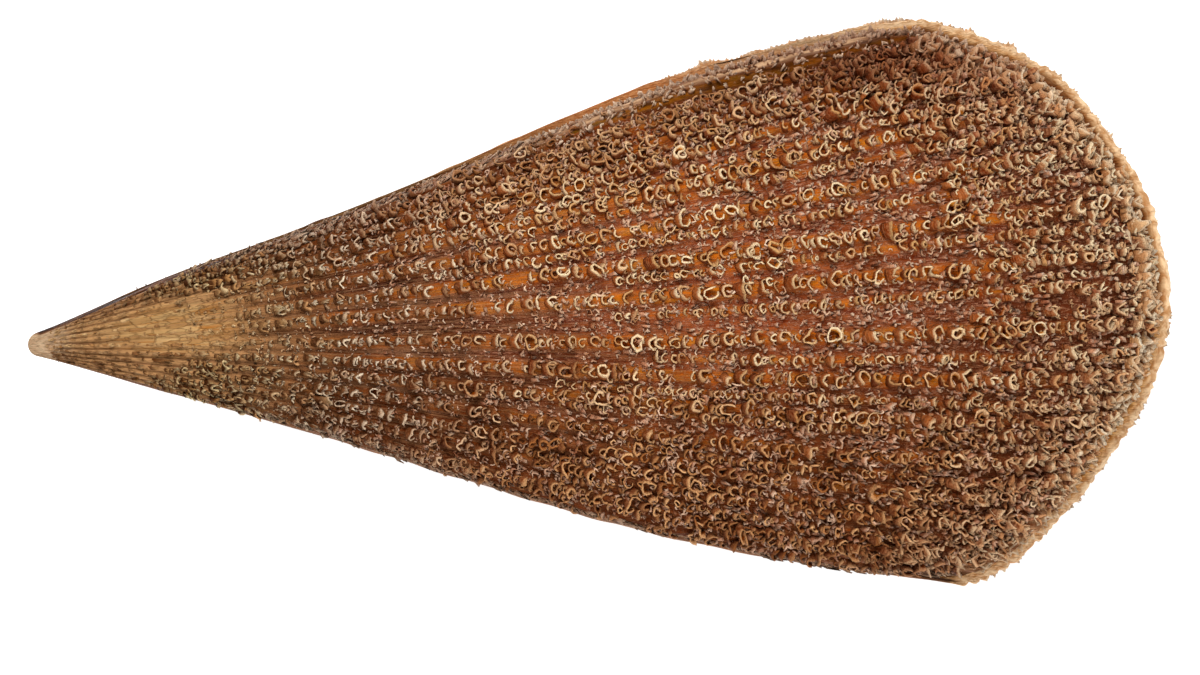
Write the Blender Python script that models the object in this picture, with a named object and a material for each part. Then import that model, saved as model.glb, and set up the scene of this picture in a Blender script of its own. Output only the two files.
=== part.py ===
"""Pen shell: a young fan mussel, both valves closed, lying on its lower valve.

Metres, +Z up.  The beak points to -X, the wide rounded end to +X and the belly (ventral) edge
to +Y, so the straighter hinge (dorsal) edge faces -Y.  The origin is on the resting surface,
under the middle of the outline.

Both valves follow one fan of rows.  A place on it is (across, along): across runs from the hinge
edge (0) to the belly edge (1), and along runs from the beak (0) to the growing margin (1).
The thousands of small hollow scales on each valve are inside these solids, which reach the
scales' tips.
"""

import math

import bmesh
import bpy
from mathutils import Matrix, Vector

# ---------------------------------------------------------------- driving dimensions (metres)

SHELL_LENGTH = 0.170            # beak to the farthest point of the margin
VALVE_HEIGHT = 0.0120           # of one valve's skin above its own edge, at its highest
SCALE_RISE = 0.0022             # how far the scales' tips stand above the skin
SCALE_RISE_AT_BEAK = 0.0003     # what wear has left of them there
SCALE_RISE_AT_MARGIN = 0.0014   # the newest ones lean outwards
EDGE_THICKNESS = 0.0010         # of the bare margin
BEAK_THICKNESS = 0.0012         # of one valve at the beak, above its edge
WALL = 0.0013                   # of the skin, away from the margin
JOINT_GAP = 0.0003              # between two pieces that touch
GAPE = 0.0009                   # of the rounded end, which never shuts quite tight
BELLY_FLAT = 0.00035            # worn off the lowest scale tips, where the shell rests

LIGAMENT_THICKNESS = 0.0013
LIGAMENT_DEPTH = 0.0024         # from the hinge edge inwards
LIGAMENT_SPAN = (0.05, 0.94)    # along the hinge edge
LIGAMENT_RECESS = 0.00015       # its outer face lies this far inside the valves' edges
LIGAMENT_ENDS = 0.45            # its thickness and depth at both ends, of the full ones
SEAT_SLOPE = (0.0010, 0.0045)   # beyond the ligament, where its seat in a valve runs out

# ------------------------------------------------------- outline, in parts of the shell length

# The growing margin, from the corner at the hinge edge round the wide end to the belly shoulder.
MARGIN = (
    (0.819, -0.211), (0.861, -0.192), (0.908, -0.149), (0.951, -0.091), (0.985, -0.036),
    (1.000, 0.040), (0.985, 0.120), (0.948, 0.184), (0.900, 0.237), (0.842, 0.268),
    (0.771, 0.285), (0.675, 0.266),
)
BEAK_RADIUS = 0.0105
BEAK_SHIFT = 0.0012             # of the beak's rounding towards the belly edge

# How far each side edge bows out from a straight line, at equal steps from beak to margin.
HINGE_BOW = (0.0, 0.0045, 0.0092, 0.0168, 0.0212, 0.0146, 0.0)
BELLY_BOW = (0.0, 0.0055, 0.0038, 0.0052, 0.0108, 0.0120, 0.0)

RIDGE_ROW = 0.47                # the row (across) along which a valve is highest
UPPER_ACROSS = (0.0, 0.98)      # the upper valve stops short of the lower one
UPPER_ALONG = 0.986
GAPE_START = 0.75               # the places along the shell where each change begins or ends
WORN_SCALES = (0.08, 0.42)
LEANING_SCALES = (0.88, 1.0)

# ----------------------------------------------------------------------------- mesh density

ROWS_ACROSS = 26
STEPS_ALONG = 36
LIGAMENT_STEPS = 44
CROWDING = 0.55                 # how much closer the grid lines lie near the edges

ORANGE_BROWN = (0.30, 0.115, 0.045, 1.0)
PURPLE_BROWN = (0.21, 0.10, 0.06, 1.0)
HORN_BROWN = (0.055, 0.028, 0.015, 1.0)


# ------------------------------------------------------------------------------ the fan of rows

def spline(points, where):
    """A smooth (Catmull-Rom) curve through the points; where runs from 0 to 1."""
    last = len(points) - 1
    step = min(int(where * last), last - 1)
    t = where * last - step
    before = points[max(step - 1, 0)]
    start = points[step]
    end = points[step + 1]
    after = points[min(step + 2, last)]
    return 0.5 * (2 * start + (end - before) * t
                  + (2 * before - 5 * start + 4 * end - after) * t ** 2
                  + (3 * start - before - 3 * end + after) * t ** 3)


MARGIN_POINTS = [Vector(point) * SHELL_LENGTH for point in MARGIN]


def beak_point(across):
    """The blunt round tip, from the hinge edge to the belly edge."""
    radius = BEAK_RADIUS * SHELL_LENGTH
    angle = math.pi * across
    return Vector((radius * (1 - math.sin(angle)),
                   BEAK_SHIFT * SHELL_LENGTH - radius * math.cos(angle)))


def bow(values, start, end, along):
    """How far a side edge stands out from the straight line between its ends, as a vector."""
    line = (end - start).normalized()
    outwards = Vector((line.y, -line.x))
    return outwards * spline(values, along) * SHELL_LENGTH


def fan_point(across, along):
    """The place in plan of (across, along), with the beak at the origin."""
    straight = beak_point(across).lerp(spline(MARGIN_POINTS, across), along)
    hinge_bow = bow(HINGE_BOW, beak_point(0), MARGIN_POINTS[0], along)
    belly_bow = bow(BELLY_BOW, MARGIN_POINTS[-1], beak_point(1), along)
    return straight + hinge_bow * (1 - across) ** 2 + belly_bow * across ** 2


def ease(low, high, value):
    """A smooth step from 0 at low to 1 at high."""
    t = min(max((value - low) / (high - low), 0.0), 1.0)
    return t * t * (3 - 2 * t)


# ----------------------------------------------------------------------------- valve heights

LENGTHWISE_POWER = 0.85         # lower is blunter at the margin
CROSS_FLATNESS = 2.2            # higher is flatter over the ridge
CROSS_POWER = 0.8               # lower is steeper at the side edges
BEAK_FADE = 8                   # how soon the beak's own thickness is lost in the valve's rise

LENGTHWISE_PEAK = 1 / math.sqrt(1 + 2 * LENGTHWISE_POWER)
RIDGE_SKEW = math.log(0.5) / math.log(RIDGE_ROW)


def lengthwise(along):
    """The valve's long profile, 1 at its highest: a long rise from the beak, a shorter fall."""
    def curve(place):
        return place * max(1 - place ** 2, 0.0) ** LENGTHWISE_POWER
    return curve(along) / curve(LENGTHWISE_PEAK)


def crosswise(across):
    """The valve's cross-section, 1 on the ridge row and 0 at both side edges."""
    from_ridge = abs(2 * across ** RIDGE_SKEW - 1)
    return max(1 - from_ridge ** CROSS_FLATNESS, 0.0) ** CROSS_POWER


def skin_height(across, along):
    """The skin above the valve's own edge."""
    return crosswise(across) * (VALVE_HEIGHT * lengthwise(along)
                                + BEAK_THICKNESS * (1 - along) ** BEAK_FADE)


def scale_rise(along):
    """The scales' tips above the skin: worn low at the beak, leaning over at the margin."""
    worn = (SCALE_RISE - SCALE_RISE_AT_BEAK) * (1 - ease(*WORN_SCALES, along))
    leaning = (SCALE_RISE - SCALE_RISE_AT_MARGIN) * ease(*LEANING_SCALES, along)
    return SCALE_RISE - worn - leaning


def ligament_fullness(along):
    """The ligament's thickness and depth, 1 over most of its length and less at both ends."""
    start, end = LIGAMENT_SPAN
    middle = ease(start, start + 0.15, along) * (1 - ease(end - 0.12, end, along))
    return LIGAMENT_ENDS + (1 - LIGAMENT_ENDS) * middle


def hinge_seat(across, along):
    """Room for the ligament: each valve's edge stands back from the joint plane beside it."""
    start, end = LIGAMENT_SPAN
    width = (fan_point(1, along) - fan_point(0, along)).length
    slope_start, slope_end = SEAT_SLOPE
    beside = 1 - ease(slope_start, slope_end, across * width - LIGAMENT_DEPTH)
    within = ease(0.0, start - 0.01, along) * (1 - ease(end + 0.01, 1.0, along))
    return (ligament_fullness(along) * LIGAMENT_THICKNESS + JOINT_GAP) / 2 * beside * within


JOINT_Z = JOINT_GAP / 2 + EDGE_THICKNESS + VALVE_HEIGHT + SCALE_RISE - BELLY_FLAT


# -------------------------------------------------------------------------------- the pieces

def crowd(t):
    """Moves even steps from 0 to 1 closer together near both ends."""
    return t - CROWDING * math.sin(2 * math.pi * t) / (2 * math.pi)


def plate(columns, rows):
    """A flat closed plate, one unit square: its lower and its upper vertices, and the mesh."""
    bm = bmesh.new()
    bmesh.ops.create_grid(bm, x_segments=columns, y_segments=rows, size=0.5)
    bmesh.ops.translate(bm, verts=bm.verts, vec=(0.5, 0.5, 0.0))
    lower = list(bm.verts)
    top = bmesh.ops.extrude_face_region(bm, geom=bm.faces[:], use_keep_orig=True)
    upper = [item for item in top["geom"] if isinstance(item, bmesh.types.BMVert)]
    return bm, lower, upper


def make_object(name, bm, colour, roughness, collection):
    """Closes the mesh into an object with its own material."""
    bmesh.ops.recalc_face_normals(bm, faces=bm.faces)
    mesh = bpy.data.meshes.new(name)
    bm.to_mesh(mesh)
    bm.free()
    mesh.shade_smooth()
    mesh.set_sharp_from_angle(angle=math.radians(40))
    material = bpy.data.materials.new(name)
    material.use_nodes = True
    surface = material.node_tree.nodes["Principled BSDF"]
    surface.inputs["Base Color"].default_value = colour
    surface.inputs["Roughness"].default_value = roughness
    surface.inputs["Metallic"].default_value = 0.0
    mesh.materials.append(material)
    piece = bpy.data.objects.new(name, mesh)
    collection.objects.link(piece)
    return piece


def make_valve(name, side, across_range, along_end, gape, colour, collection):
    """One cupped valve; side is 1 for the upper one and -1 for the lower one."""
    bm, inner, outer = plate(ROWS_ACROSS, STEPS_ALONG)

    def place(vertex):
        first, last = across_range
        return first + (last - first) * crowd(vertex.co.x), along_end * crowd(vertex.co.y)

    def edge_height(across, along):
        return JOINT_GAP / 2 + hinge_seat(across, along) + gape * ease(GAPE_START, 1.0, along)

    def inner_height(across, along):
        return edge_height(across, along) + max(skin_height(across, along) - WALL, 0.0)

    def outer_height(across, along):
        skin = EDGE_THICKNESS + skin_height(across, along)
        return edge_height(across, along) + skin + scale_rise(along)

    for vertices, height in ((inner, inner_height), (outer, outer_height)):
        for vertex in vertices:
            across, along = place(vertex)
            plan = fan_point(across, along)
            level = JOINT_Z + side * height(across, along)
            vertex.co = (plan.x, plan.y, max(level, 0.0))
    return make_object(name, bm, colour, 0.6, collection)


def make_ligament(collection):
    """The horny strip between the valves' hinge edges, thinner towards both its ends."""
    bm, below, above = plate(2, LIGAMENT_STEPS)
    for vertices, side in ((below, -1), (above, 1)):
        for vertex in vertices:
            first, last = LIGAMENT_SPAN
            along = first + (last - first) * vertex.co.y
            edge = fan_point(0, along)
            line = (fan_point(0, along + 0.01) - fan_point(0, along - 0.01)).normalized()
            inwards = Vector((-line.y, line.x))
            fullness = ligament_fullness(along)
            plan = edge + inwards * (LIGAMENT_RECESS + LIGAMENT_DEPTH * fullness * vertex.co.x)
            level = JOINT_Z + side * fullness * LIGAMENT_THICKNESS / 2
            vertex.co = (plan.x, plan.y, level)
    return make_object("ligament", bm, HORN_BROWN, 0.5, collection)


def centre_on_origin(pieces):
    """Moves the meshes so that the origin is under the middle of the whole outline."""
    xs = [vertex.co.x for piece in pieces for vertex in piece.data.vertices]
    ys = [vertex.co.y for piece in pieces for vertex in piece.data.vertices]
    middle = Vector(((min(xs) + max(xs)) / 2, (min(ys) + max(ys)) / 2, 0.0))
    for piece in pieces:
        piece.data.transform(Matrix.Translation(-middle))


def build():
    """Clears the scene and makes the shell's three pieces."""
    for old in list(bpy.data.objects):
        bpy.data.objects.remove(old)
    collection = bpy.data.collections.new("pen_shell")
    bpy.context.scene.collection.children.link(collection)
    upper = make_valve("upper_valve", 1, UPPER_ACROSS, UPPER_ALONG, GAPE, ORANGE_BROWN, collection)
    lower = make_valve("lower_valve", -1, (0.0, 1.0), 1.0, 0.0, PURPLE_BROWN, collection)
    ligament = make_ligament(collection)
    centre_on_origin((upper, lower, ligament))


build()
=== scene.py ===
import math
from collections import namedtuple

import bmesh
import bpy
import numpy as np
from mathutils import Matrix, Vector
from mathutils.kdtree import KDTree


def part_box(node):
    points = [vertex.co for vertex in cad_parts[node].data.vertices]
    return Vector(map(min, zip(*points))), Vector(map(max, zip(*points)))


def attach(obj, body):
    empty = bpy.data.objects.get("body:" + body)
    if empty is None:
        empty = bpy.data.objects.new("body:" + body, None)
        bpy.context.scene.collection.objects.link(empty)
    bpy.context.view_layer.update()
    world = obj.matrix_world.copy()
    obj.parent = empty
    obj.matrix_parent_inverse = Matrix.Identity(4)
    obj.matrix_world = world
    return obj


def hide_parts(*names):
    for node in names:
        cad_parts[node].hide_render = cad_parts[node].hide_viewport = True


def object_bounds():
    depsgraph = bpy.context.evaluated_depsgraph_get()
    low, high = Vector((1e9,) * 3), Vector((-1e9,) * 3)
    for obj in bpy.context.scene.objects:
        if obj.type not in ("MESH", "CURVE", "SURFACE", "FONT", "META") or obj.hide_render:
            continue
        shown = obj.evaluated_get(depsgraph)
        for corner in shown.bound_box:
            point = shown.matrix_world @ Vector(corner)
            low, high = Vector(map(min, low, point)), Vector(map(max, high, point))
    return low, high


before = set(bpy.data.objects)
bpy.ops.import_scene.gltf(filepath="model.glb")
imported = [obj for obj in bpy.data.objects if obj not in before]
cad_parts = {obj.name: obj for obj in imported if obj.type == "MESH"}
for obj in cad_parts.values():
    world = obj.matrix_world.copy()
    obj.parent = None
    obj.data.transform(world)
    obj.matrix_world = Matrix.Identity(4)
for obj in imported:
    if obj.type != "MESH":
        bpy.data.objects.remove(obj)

cad_low, cad_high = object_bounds()

# ------------------------------------------------------------------ table, light and camera
# The shell lies on a plain white light table under soft studio light: a broad lamp beyond the
# belly edge, a weaker one on the hinge side and an even white surround.  A long lens looks
# straight down on it.

TABLE_WHITE = (0.8, 0.8, 0.8, 1.0)
TABLE_GLOW = 0.75
SURROUND_GLOW = 0.55
VIEW_WIDTH = (cad_high.x - cad_low.x) * 1.0505
VIEW_SHIFT = Vector((0.0001, -0.0051))      # of the picture's middle from the shell's
LENS = 150.0
SENSOR = 36.0

shell_middle = (cad_low + cad_high) / 2


def add_object(name, data):
    made = bpy.data.objects.new(name, data)
    bpy.context.scene.collection.objects.link(made)
    return made


def set_inputs(node, inputs):
    """Sets a node's inputs, by name or number, each to a value or to another node's socket."""
    for name, value in inputs.items():
        if isinstance(value, bpy.types.NodeSocket):
            node.id_data.links.new(value, node.inputs[name])
        else:
            node.inputs[name].default_value = value


def make_table():
    bm = bmesh.new()
    bmesh.ops.create_grid(bm, x_segments=1, y_segments=1, size=1.6)
    mesh = bpy.data.meshes.new("table")
    bm.to_mesh(mesh)
    bm.free()
    white = bpy.data.materials.new("table_white")
    white.use_nodes = True
    set_inputs(white.node_tree.nodes["Principled BSDF"],
               {"Base Color": TABLE_WHITE, "Roughness": 0.8,
                "Emission Color": TABLE_WHITE, "Emission Strength": TABLE_GLOW})
    mesh.materials.append(white)
    add_object("table", mesh)


def soft_lamp(name, place, width, height, watts):
    """A rectangular soft box that faces the shell."""
    lamp = bpy.data.lights.new(name, "AREA")
    lamp.shape = "RECTANGLE"
    lamp.size = width
    lamp.size_y = height
    lamp.energy = watts
    stand = add_object(name, lamp)
    stand.location = place
    stand.rotation_euler = (shell_middle - Vector(place)).to_track_quat("-Z", "Y").to_euler()


make_table()
soft_lamp("lamp_belly_side", (-0.15, 0.75, 0.95), 0.8, 0.45, 12.3)
soft_lamp("lamp_hinge_side", (0.25, -0.8, 0.7), 0.8, 0.5, 4.6)

surround = bpy.data.worlds.new("studio")
surround.use_nodes = True
set_inputs(surround.node_tree.nodes["Background"],
           {"Color": (1.0, 1.0, 1.0, 1.0), "Strength": SURROUND_GLOW})
bpy.context.scene.world = surround
bpy.context.scene.view_settings.view_transform = "Standard"

lens = bpy.data.cameras.new("camera")
lens.lens = LENS
lens.sensor_width = SENSOR
lens.clip_start = 0.01
camera = add_object("camera", lens)
camera.location = (shell_middle.x + VIEW_SHIFT.x, shell_middle.y + VIEW_SHIFT.y,
                   shell_middle.z + VIEW_WIDTH * LENS / SENSOR)
bpy.context.scene.camera = camera


# ----------------------------------------------------------------------------- upper valve skin
# The upper half of the shell: a thin, brittle, slightly see-through wall that the animal's
# mantle laid down at its margin, one growth line after another.  Rows of ribs fan out from the
# beak; the skin is orange-brown on them and purple-brown between them, worn golden by the beak.

lower_corner, higher_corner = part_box("lower_valve")
SHELL_LENGTH = higher_corner.x - lower_corner.x
JOINT_Z = (higher_corner.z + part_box("upper_valve")[0].z) / 2
MM = 0.001

VALVE_HEIGHT = 12.0 * MM
EDGE_THICKNESS = 0.9 * MM
BEAK_THICKNESS = 1.2 * MM
WALL = 1.2 * MM
JOINT_GAP = 0.3 * MM
GAPE = 0.9 * MM
LIGAMENT_THICKNESS = 1.3 * MM
LIGAMENT_DEPTH = 2.4 * MM
LIGAMENT_SPAN = (0.05, 0.94)

MARGIN = (
    (0.819, -0.211), (0.861, -0.192), (0.908, -0.149), (0.951, -0.091), (0.985, -0.036),
    (1.000, 0.040), (0.985, 0.120), (0.948, 0.184), (0.900, 0.237), (0.842, 0.268),
    (0.771, 0.285), (0.675, 0.266),
)
BEAK_RADIUS = 0.0105
BEAK_SHIFT = 0.0012
HINGE_BOW = (0.0, 0.0045, 0.0092, 0.0168, 0.0212, 0.0146, 0.0)
BELLY_BOW = (0.0, 0.0055, 0.0038, 0.0052, 0.0108, 0.0120, 0.0)
RIDGE_ROW = 0.47
LENGTHWISE_POWER = 0.85


def spline(points, where):
    """A smooth (Catmull-Rom) curve through the points; where runs from 0 to 1."""
    points = np.asarray(points, float)
    last = len(points) - 1
    place = np.clip(where, 0.0, 1.0) * last
    step = np.minimum(place.astype(int), last - 1)
    t = place - step
    if points.ndim == 2:
        t = t[..., None]
    before = points[np.maximum(step - 1, 0)]
    start = points[step]
    end = points[step + 1]
    after = points[np.minimum(step + 2, last)]
    return 0.5 * (2 * start + (end - before) * t
                  + (2 * before - 5 * start + 4 * end - after) * t ** 2
                  + (3 * start - before - 3 * end + after) * t ** 3)


def ease(low, high, value):
    """A smooth step from 0 at low to 1 at high."""
    t = np.clip((value - low) / (high - low), 0.0, 1.0)
    return t * t * (3 - 2 * t)


def beak_point(across):
    """The blunt round tip, from the hinge edge to the belly edge."""
    angle = np.pi * across
    return np.stack((BEAK_RADIUS * (1 - np.sin(angle)),
                     BEAK_SHIFT - BEAK_RADIUS * np.cos(angle)), -1)


def outwards(start, end):
    """The direction square to the line from start to end, in plan."""
    line = np.asarray(end) - np.asarray(start)
    return np.array((line[1], -line[0])) / np.hypot(*line)


HINGE_OUT = outwards(beak_point(np.array(0.0)), MARGIN[0])
BELLY_OUT = outwards(MARGIN[-1], beak_point(np.array(1.0)))


def fan_plan(across, along):
    """The place in plan of (across, along): across from hinge to belly edge, along from beak
    to margin, both 0 to 1.  The beak is at the origin."""
    weight = along[..., None]
    straight = beak_point(across) * (1 - weight) + spline(MARGIN, across) * weight
    hinge = spline(HINGE_BOW, along) * (1 - across) ** 2
    belly = spline(BELLY_BOW, along) * across ** 2
    return (straight + hinge[..., None] * HINGE_OUT + belly[..., None] * BELLY_OUT) * SHELL_LENGTH


round_edge = np.linspace(0.0, 1.0, 200)
lowest_y = min(fan_plan(round_edge, np.ones(200))[:, 1].min(),
               fan_plan(np.zeros(200), round_edge)[:, 1].min())
PLAN_SHIFT = np.array((lower_corner.x, lower_corner.y - lowest_y))
RIDGE_SKEW = math.log(0.5) / math.log(RIDGE_ROW)
LENGTHWISE_PEAK = 1 / math.sqrt(1 + 2 * LENGTHWISE_POWER)


def skin_height(across, along):
    """The skin above the valve's own edge."""
    def lengthwise(place):
        return place * np.clip(1 - place ** 2, 0.0, None) ** LENGTHWISE_POWER
    from_ridge = np.abs(2 * np.clip(across, 0, 1) ** RIDGE_SKEW - 1)
    crosswise = np.clip(1 - from_ridge ** 2.2, 0.0, None) ** 0.8
    long_profile = lengthwise(along) / lengthwise(LENGTHWISE_PEAK)
    beak = np.clip(1 - along, 0, 1) ** 8 * (0.25 + 0.75 * ease(0.0, 0.05, along))
    return crosswise * (VALVE_HEIGHT * long_profile + BEAK_THICKNESS * beak)


def edge_thickness(along):
    """The wall's thickness at the valve's edge; the worn tip is thinner."""
    return EDGE_THICKNESS * (0.45 + 0.55 * ease(0.0, 0.06, along))


def edge_height(across, along, gape):
    """The valve's edge above the joint plane: beside the ligament it stands back to seat it."""
    width = np.linalg.norm(fan_plan(np.ones_like(across), along)
                           - fan_plan(np.zeros_like(across), along), axis=-1)
    start, end = LIGAMENT_SPAN
    beside = 1 - ease(1.0 * MM, 4.5 * MM, across * width - LIGAMENT_DEPTH)
    within = ease(0.0, start - 0.01, along) * (1 - ease(end + 0.01, 1.0, along))
    middle = ease(start, start + 0.15, along) * (1 - ease(end - 0.12, end, along))
    seat = ((0.45 + 0.55 * middle) * LIGAMENT_THICKNESS + JOINT_GAP) / 2 * beside * within
    return JOINT_GAP / 2 + seat + gape * ease(0.75, 1.0, along)


def distances(plan):
    """How far along a line of places each one is."""
    return np.concatenate(((0,), np.cumsum(np.linalg.norm(np.diff(plan, axis=0), axis=1))))


def outline_path():
    """The outline in plan, from the beak along the belly edge and round the margin to the hinge
    corner, how far along it each point is, in mm, and the way inwards from it."""
    line = np.linspace(0, 1, 1200)
    plan = np.concatenate((fan_plan(np.ones(1200), line), fan_plan(1 - line[1:], np.ones(1199))))
    run = np.gradient(plan, axis=0)
    run /= np.linalg.norm(run, axis=1, keepdims=True)
    return plan, distances(plan) / MM, np.stack((run[:, 1], -run[:, 0]), -1)


OUTLINE, OUTLINE_WALKED, INWARDS = outline_path()
outline_tree = KDTree(len(OUTLINE))
for number, (x, y) in enumerate(OUTLINE):
    outline_tree.insert((x, y, 0.0), number)
outline_tree.balance()

INSET_PLACES = (0, 20, 60, 90, 120, 140, 152, 222, 236)          # mm round from the beak
INSET_WIDTHS = (0.1, 0.3, 0.7, 1.3, 1.5, 2.1, 2.5, 2.7, 1.6)     # mm of lower valve left bare
INSET_REACH = 14.0                                 # mm over which the upper valve is drawn in


def to_outline(plan):
    """How far each place is from the outline, in mm, and the number of its nearest point."""
    found = [outline_tree.find((x, y, 0.0)) for x, y in plan.reshape(-1, 2)]
    away = np.array([hit[2] for hit in found]).reshape(plan.shape[:-1]) / MM
    return away, np.array([hit[1] for hit in found]).reshape(plan.shape[:-1])


def drawn_in(away, nearest):
    """How much further inside the outline the upper valve is, in mm."""
    inset = np.interp(OUTLINE_WALKED[nearest], INSET_PLACES, INSET_WIDTHS)
    return inset * np.clip(1 - away / INSET_REACH, 0, 1)


def valve_point(across, along, valve, rise=None):
    """A place on a valve's skin, or at a rise above its edge.  The upper valve stands back from
    the outline."""
    plan = fan_plan(across, along)
    if valve.side > 0:
        away, nearest = to_outline(plan)
        plan = plan + INWARDS[nearest] * (drawn_in(away, nearest) * MM)[..., None]
    plan = plan + PLAN_SHIFT
    if rise is None:
        rise = edge_thickness(along) + skin_height(across, along)
    level = JOINT_Z + valve.side * (edge_height(across, along, valve.gape) + rise)
    return np.concatenate((plan, level[..., None]), -1)


def unit(vectors):
    return vectors / np.maximum(np.linalg.norm(vectors, axis=-1, keepdims=True), 1e-12)


def valve_frame(across, along, valve):
    """The skin's place, its outward normal, and the directions to the margin and across."""
    step, least, most = 0.003, 0.004, 0.996
    crossing = (valve_point(np.clip(across + step, least, most), along, valve)
                - valve_point(np.clip(across - step, least, most), along, valve))
    running = (valve_point(across, np.clip(along + step, 0.0, most), valve)
               - valve_point(across, np.clip(along - step, 0.0, most), valve))
    normal = unit(np.cross(running, crossing)) * valve.side
    margin_way = unit(running)
    return valve_point(across, along, valve), normal, margin_way, np.cross(normal, margin_way)


class Rows:
    """The rows of one valve: where each runs (across), where it begins (along), its rank.
    They run closer together towards both sides."""

    def __init__(self, seed):
        chance = np.random.default_rng(seed)
        main = 17
        step = 1 / main
        first = (np.arange(main) + 0.5) * step
        second = (np.arange(main - 1) + 1.0) * step
        third = (np.arange(2 * main - 2) + 1.5) * step / 2
        self.place = np.concatenate((first, second, third))
        self.rank = np.repeat((0, 1, 2), (len(first), len(second), len(third)))
        self.place += chance.uniform(-0.12, 0.12, len(self.place)) * step
        self.place -= 0.15 * np.sin(2 * np.pi * self.place) / (2 * np.pi)
        self.place = 0.025 + 0.945 * self.place
        self.start = np.concatenate((np.full(len(first), 0.012),
                                     chance.uniform(0.34, 0.56, len(second)),
                                     chance.uniform(0.80, 0.94, len(third))))
        self.phase = chance.uniform(0, 2 * np.pi, len(self.place))

    def line(self, number, along):
        """Where a row runs: it sways a little on its way to the margin."""
        phase = self.phase[number]
        sway = np.sin(9 * along + phase) + 0.5 * np.sin(23 * along + 2 * phase)
        return self.place[number] + 0.0016 * sway


Valve = namedtuple("Valve", "node side gape rows")      # side is 1 for the upper one, else -1
UPPER = Valve("upper_valve", 1, GAPE, Rows(3))


def local_width(across, along):
    """Millimetres of skin for each unit of across, there."""
    step = 0.004
    gap = fan_plan(across + step, along) - fan_plan(across - step, along)
    return np.linalg.norm(gap, axis=-1) / (2 * step) / MM


def ribbing(rows, across, along):
    """How high the ribs stand, 0 to about 1, under each row of scales."""
    width = local_width(across, along)
    total = np.zeros_like(across)
    for number, rank in enumerate(rows.rank):
        away = (across - rows.line(number, along)) * width
        spread = np.minimum((0.95, 0.7, 0.5)[rank], 0.025 * width)
        height = (1.0, 0.6, 0.35)[rank] * ease(rows.start[number] - 0.03,
                                               rows.start[number] + 0.06, along)
        total = np.maximum(total, height * np.exp(-(away / spread) ** 2))
    return total


def rib_lift(across, along, ribs):
    """How far the ribs raise the skin."""
    return ribs * np.minimum(0.55, 0.03 * local_width(across, along)) * MM


def crowd(t, amount=0.4):
    """Moves even steps from 0 to 1 closer together near both ends."""
    return t - amount * np.sin(2 * np.pi * t) / (2 * np.pi)


RIM_RINGS = ((0.0, 0.55), (0.0015, 0.12), (0.006, 0.0), (0.015, 0.0), (0.03, 0.0))
INNER_RING = 0.05
SKIN_END = 0.9995
INNER_GRID = {"x_segments": 28, "y_segments": 32}
LAND = (2.2, 3.8)          # mm inside the outline over which the flat edge turns into the hollow


def flat_valve(columns, rows):
    """A closed valve as a flat stack: its outside at level 0, the rings of its rim at levels 1
    to 5, and a coarser inside at level 6."""
    bm = bmesh.new()
    bmesh.ops.create_grid(bm, x_segments=columns, y_segments=rows, size=0.5)
    edges = [edge for edge in bm.edges if edge.is_boundary]
    for level, (inset, _) in enumerate(RIM_RINGS, 1):
        ring = bmesh.ops.extrude_edge_only(bm, edges=edges)["geom"]
        corners = [item for item in ring if isinstance(item, bmesh.types.BMVert)]
        edges = [item for item in ring
                 if isinstance(item, bmesh.types.BMEdge) and item.is_boundary]
        for corner in corners:
            corner.co.z = level
            for axis in (0, 1):
                corner.co[axis] = max(min(corner.co[axis], 0.5 - inset), inset - 0.5)
    outside = set(bm.verts)
    bmesh.ops.create_grid(bm, **INNER_GRID, size=0.5 - INNER_RING)
    inside = [vertex for vertex in bm.verts if vertex not in outside]
    bmesh.ops.translate(bm, verts=inside, vec=(0, 0, len(RIM_RINGS) + 1))
    rim_edges = set(edges)
    inner_edges = [edge for edge in bm.edges if edge.is_boundary and edge not in rim_edges]
    bmesh.ops.bridge_loops(bm, edges=edges + inner_edges)
    bmesh.ops.translate(bm, verts=bm.verts, vec=(0.5, 0.5, 0.0))
    bmesh.ops.recalc_face_normals(bm, faces=bm.faces)
    return bm


def close_piece(mesh, masks, material, valve):
    """Stores the masks, one number for each vertex, that the material reads, and makes the
    mesh's object: smooth, riding on the shell and standing for a valve."""
    for name, values in masks.items():
        layer = mesh.attributes.new(name, "FLOAT", "POINT")
        layer.data.foreach_set("value", np.ascontiguousarray(values, np.float32).ravel())
    mesh.materials.append(material)
    mesh.shade_smooth()
    piece = add_object(mesh.name, mesh)
    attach(piece, "root")
    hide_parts(valve.node)


def valve_skin(name, valve, first_across, size, material, edge_shape=None):
    """Lays a flat closed valve over the fan of rows, with its ribs and growth swells."""
    bm = flat_valve(*size)
    mesh = bpy.data.meshes.new(name)
    bm.to_mesh(mesh)
    bm.free()
    flat = np.empty(len(mesh.vertices) * 3, np.float32)
    mesh.vertices.foreach_get("co", flat)
    flat = flat.reshape(-1, 3).astype(float)
    level = np.rint(flat[:, 2]).astype(int)
    across = first_across + (SKIN_END - first_across) * crowd(flat[:, 0])
    along = SKIN_END * crowd(flat[:, 1], 0.3)
    points, normal = valve_frame(across, along, valve)[:2]
    ribs = ribbing(valve.rows, across, along)
    lift, masks = skin_relief(across, along, ribs, valve)
    outside = level == 0
    points[outside] += (normal * lift[..., None])[outside]
    hollow = (np.clip(skin_height(across, along) - WALL, 0, None)
              * ease(*LAND, to_outline(fan_plan(across, along))[0]))
    edge_shares = [share for _, share in RIM_RINGS] + [0.0]
    for ring, share in enumerate(edge_shares, 1):
        here = level == ring
        points[here] = valve_point(across[here], along[here], valve,
                                   edge_thickness(along[here]) * share + hollow[here])
    if edge_shape:
        points += edge_shape(across, along, level)
    mesh.vertices.foreach_set("co", np.ascontiguousarray(points, np.float32).ravel())
    mesh.update()
    close_piece(mesh, masks, material, valve)


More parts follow.
